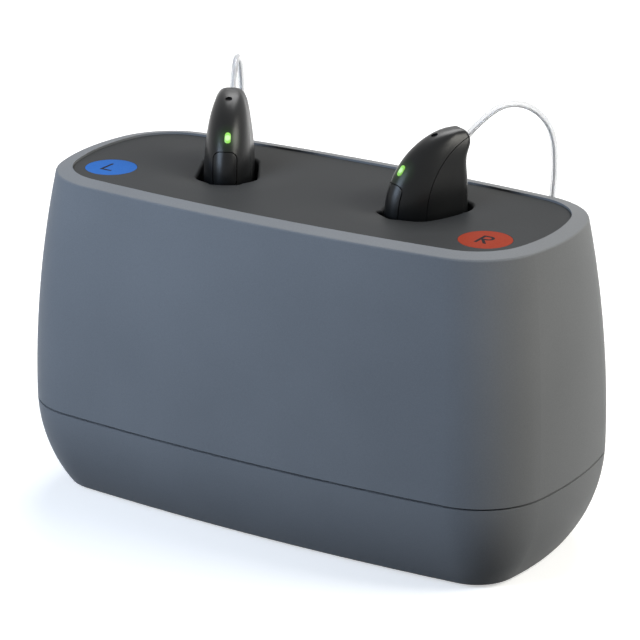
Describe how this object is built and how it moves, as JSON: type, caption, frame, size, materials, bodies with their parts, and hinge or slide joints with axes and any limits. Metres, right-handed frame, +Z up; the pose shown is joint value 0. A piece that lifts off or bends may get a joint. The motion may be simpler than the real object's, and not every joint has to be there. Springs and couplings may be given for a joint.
{
  "type": "hearing aid charger",
  "caption": "Desktop charger with a curved grey housing, dark deck, left and right marked pockets, and two black hearing aids docked in them.",
  "frame": {"origin": "on the table under the middle of the housing", "axes": "+X from the left pocket to the right one, +Y to the back, +Z up"},
  "size_m": [0.092, 0.0501, 0.0666],
  "materials": {
    "housing_paint": "satin metallic grey paint",
    "deck": "fine matte dark grey",
    "pocket": "gloss black",
    "seam": "matte black",
    "foot": "matte black",
    "blue_mark": "satin blue",
    "red_mark": "satin red",
    "letter": "matte dark grey",
    "aid_shell": "satin black",
    "light": "green light, lit",
    "mesh": "black woven mesh",
    "tube": "clear, flexible",
    "receiver_case": "pale grey",
    "dome_rubber": "translucent silicone",
    "board": "green solder mask",
    "chips": "black",
    "copper": "enamelled copper",
    "ferrite": "sintered dark grey",
    "lead_film": "amber film",
    "inner_plastic": "black",
    "steel": "zinc plated",
    "battery_case": "satin steel"
  },
  "bodies": {
    "charger": {"upper_housing": "housing_paint", "base_housing": "housing_paint", "seam_gasket": "seam", "foot_pad": "foot", "top_deck": "deck", "coil_carrier": "inner_plastic", "main_board": "board", "board_chips": "chips", "power_inlet": "steel", "ballast_plate": "steel", "housing_screws": "steel", "deck_screws": "steel", "carrier_screws": "steel", "board_screws": "steel", "left_pocket_cup": "pocket", "left_disc": "blue_mark", "left_letter": "letter", "left_charging_coil": "copper", "left_ferrite": "ferrite", "left_coil_lead": "lead_film", "right_pocket_cup": "pocket", "right_disc": "red_mark", "right_letter": "letter", "right_charging_coil": "copper", "right_ferrite": "ferrite", "right_coil_lead": "lead_film"},
    "left_aid": {"left_spine_cover": "aid_shell", "left_rear_shell": "aid_shell", "left_light_pipe": "light", "left_microphone_mesh": "mesh", "left_microphone": "steel", "left_aid_board": "board", "left_button_switch": "steel", "left_battery": "battery_case", "left_receive_coil": "copper", "left_wire_socket": "inner_plastic", "left_receiver_tube": "tube", "left_receiver": "receiver_case", "left_dome": "dome_rubber"},
    "left_button": {"left_push_button": "aid_shell"},
    "right_aid": {"right_spine_cover": "aid_shell", "right_rear_shell": "aid_shell", "right_light_pipe": "light", "right_microphone_mesh": "mesh", "right_microphone": "steel", "right_aid_board": "board", "right_button_switch": "steel", "right_battery": "battery_case", "right_receive_coil": "copper", "right_wire_socket": "inner_plastic", "right_receiver_tube": "tube", "right_receiver": "receiver_case", "right_dome": "dome_rubber"},
    "right_button": {"right_push_button": "aid_shell"}
  },
  "joints": [
    {"name": "left_aid_lift", "type": "slide", "parent": "charger", "child": "left_aid", "axis": [0, 0, 1], "range_m": [0, 0.04]},
    {"name": "left_button_press", "type": "slide", "parent": "left_aid", "child": "left_button", "axis": [-0.4695, 0.8829, 0], "range_m": [0, 0.0003], "stiffness_N_per_m": 1500},
    {"name": "right_aid_lift", "type": "slide", "parent": "charger", "child": "right_aid", "axis": [0, 0, 1], "range_m": [0, 0.04]},
    {"name": "right_button_press", "type": "slide", "parent": "right_aid", "child": "right_button", "axis": [0.4695, 0.8829, 0], "range_m": [0, 0.0003], "stiffness_N_per_m": 1500}
  ]
}
